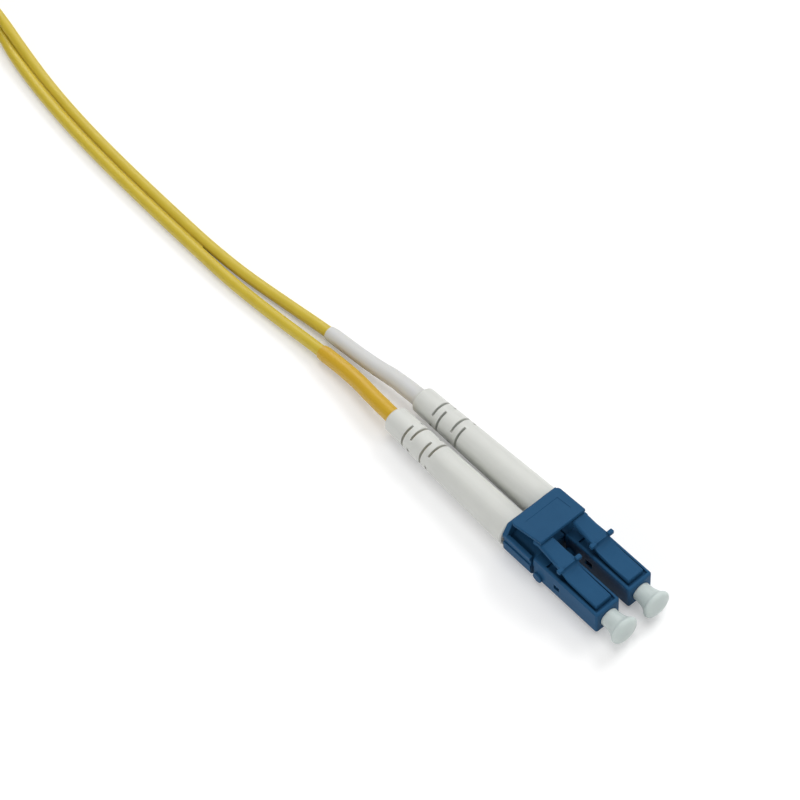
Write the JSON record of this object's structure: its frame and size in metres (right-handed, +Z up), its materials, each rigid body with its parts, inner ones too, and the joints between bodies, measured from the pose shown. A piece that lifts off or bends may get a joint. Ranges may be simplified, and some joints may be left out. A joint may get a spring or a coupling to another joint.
{
  "type": "fiber optic patch cord",
  "caption": "Duplex fibre optic patch cord: clipped pairs of latching small-form plugs in tapered boots on a yellow zip cord, wound in a tied hank.",
  "frame": {"origin": "bottom centre of the near connector pair, on the plane the cord lies on, midway between the boots' rear ends and the tips of the dust caps", "axes": "+X out of the near plugs' mating faces, +Y to the near pair's left plug seen from the boots, +Z up, latch side"},
  "size_m": [0.2513, 0.0423, 0.0104],
  "materials": {
    "blue_plastic": "satin",
    "ceramic": "polished",
    "plated_metal": "satin",
    "spring_steel": "bright",
    "boot_plastic": "smooth",
    "cap_plastic": "translucent, satin",
    "cord_jacket": "satin",
    "orange_sleeve": "satin",
    "white_sleeve": "satin",
    "tie_fabric": "woven"
  },
  "bodies": {
    "cord": {"clip_near": "blue_plastic", "housing_left_near": "blue_plastic", "rear_body_left_near": "blue_plastic", "crimp_sleeve_left_near": "plated_metal", "boot_left_near": "boot_plastic", "stripped_end_left_near": "cord_jacket", "spring_left_near": "spring_steel", "housing_right_near": "blue_plastic", "rear_body_right_near": "blue_plastic", "crimp_sleeve_right_near": "plated_metal", "boot_right_near": "boot_plastic", "stripped_end_right_near": "cord_jacket", "spring_right_near": "spring_steel", "clip_far": "blue_plastic", "housing_left_far": "blue_plastic", "rear_body_left_far": "blue_plastic", "crimp_sleeve_left_far": "plated_metal", "boot_left_far": "boot_plastic", "stripped_end_left_far": "cord_jacket", "spring_left_far": "spring_steel", "housing_right_far": "blue_plastic", "rear_body_right_far": "blue_plastic", "crimp_sleeve_right_far": "plated_metal", "boot_right_far": "boot_plastic", "stripped_end_right_far": "cord_jacket", "spring_right_far": "spring_steel", "leg_right_near": "cord_jacket", "leg_left_near": "cord_jacket", "leg_left_far": "cord_jacket", "leg_right_far": "cord_jacket", "zip_run_near": "cord_jacket", "zip_run_far": "cord_jacket", "sleeve_orange_near": "orange_sleeve", "sleeve_white_near": "white_sleeve", "sleeve_orange_far": "orange_sleeve", "sleeve_white_far": "white_sleeve", "zip_hank": "cord_jacket", "hank_tie": "tie_fabric"},
    "trigger_near": {"trigger_near": "blue_plastic"},
    "latch_left_near": {"latch_left_near": "blue_plastic"},
    "ferrule_left_near": {"ferrule_left_near": "ceramic", "ferrule_flange_left_near": "plated_metal"},
    "dust_cap_left_near": {"dust_cap_left_near": "cap_plastic"},
    "latch_right_near": {"latch_right_near": "blue_plastic"},
    "ferrule_right_near": {"ferrule_right_near": "ceramic", "ferrule_flange_right_near": "plated_metal"},
    "dust_cap_right_near": {"dust_cap_right_near": "cap_plastic"},
    "trigger_far": {"trigger_far": "blue_plastic"},
    "latch_left_far": {"latch_left_far": "blue_plastic"},
    "ferrule_left_far": {"ferrule_left_far": "ceramic", "ferrule_flange_left_far": "plated_metal"},
    "dust_cap_left_far": {"dust_cap_left_far": "cap_plastic"},
    "latch_right_far": {"latch_right_far": "blue_plastic"},
    "ferrule_right_far": {"ferrule_right_far": "ceramic", "ferrule_flange_right_far": "plated_metal"},
    "dust_cap_right_far": {"dust_cap_right_far": "cap_plastic"}
  },
  "joints": [
    {"name": "trigger_hinge_near", "type": "hinge", "parent": "cord", "child": "trigger_near", "pos_m": [0.00291, 0, 0.0072], "axis": [0, 1, 0], "range_deg": [0, 10], "stiffness_Nm_per_rad": 0.01},
    {"name": "latch_hinge_left_near", "type": "hinge", "parent": "cord", "child": "latch_left_near", "pos_m": [0.02036, 0.00313, 0.00485], "axis": [0, -1, 0], "range_deg": [0, 6]},
    {"name": "ferrule_slide_left_near", "type": "slide", "parent": "cord", "child": "ferrule_left_near", "axis": [1, 0, 0], "range_m": [-0.0009, 0], "stiffness_N_per_m": 500, "deforming": ["spring_left_near"]},
    {"name": "cap_slide_left_near", "type": "slide", "parent": "cord", "child": "dust_cap_left_near", "axis": [1, 0, 0], "range_m": [0, 0.01]},
    {"name": "latch_hinge_right_near", "type": "hinge", "parent": "cord", "child": "latch_right_near", "pos_m": [0.02036, -0.00313, 0.00485], "axis": [0, -1, 0], "range_deg": [0, 6]},
    {"name": "ferrule_slide_right_near", "type": "slide", "parent": "cord", "child": "ferrule_right_near", "axis": [1, 0, 0], "range_m": [-0.0009, 0], "stiffness_N_per_m": 500, "deforming": ["spring_right_near"]},
    {"name": "cap_slide_right_near", "type": "slide", "parent": "cord", "child": "dust_cap_right_near", "axis": [1, 0, 0], "range_m": [0, 0.01]},
    {"name": "trigger_hinge_far", "type": "hinge", "parent": "cord", "child": "trigger_far", "pos_m": [-0.14525, -0.0303, 0.0072], "axis": [0, 1, 0], "range_deg": [0, 10], "stiffness_Nm_per_rad": 0.01},
    {"name": "latch_hinge_left_far", "type": "hinge", "parent": "cord", "child": "latch_left_far", "pos_m": [-0.1278, -0.02718, 0.00485], "axis": [0, -1, 0], "range_deg": [0, 6]},
    {"name": "ferrule_slide_left_far", "type": "slide", "parent": "cord", "child": "ferrule_left_far", "axis": [1, 0, 0], "range_m": [-0.0009, 0], "stiffness_N_per_m": 500, "deforming": ["spring_left_far"]},
    {"name": "cap_slide_left_far", "type": "slide", "parent": "cord", "child": "dust_cap_left_far", "axis": [1, 0, 0], "range_m": [0, 0.01]},
    {"name": "latch_hinge_right_far", "type": "hinge", "parent": "cord", "child": "latch_right_far", "pos_m": [-0.1278, -0.03343, 0.00485], "axis": [0, -1, 0], "range_deg": [0, 6]},
    {"name": "ferrule_slide_right_far", "type": "slide", "parent": "cord", "child": "ferrule_right_far", "axis": [1, 0, 0], "range_m": [-0.0009, 0], "stiffness_N_per_m": 500, "deforming": ["spring_right_far"]},
    {"name": "cap_slide_right_far", "type": "slide", "parent": "cord", "child": "dust_cap_right_far", "axis": [1, 0, 0], "range_m": [0, 0.01]}
  ],
  "couplings": [
    {"joint": "latch_hinge_left_near", "follows": "trigger_hinge_near", "ratio": 0.49},
    {"joint": "latch_hinge_right_near", "follows": "trigger_hinge_near", "ratio": 0.49},
    {"joint": "latch_hinge_left_far", "follows": "trigger_hinge_far", "ratio": 0.49},
    {"joint": "latch_hinge_right_far", "follows": "trigger_hinge_far", "ratio": 0.49}
  ]
}
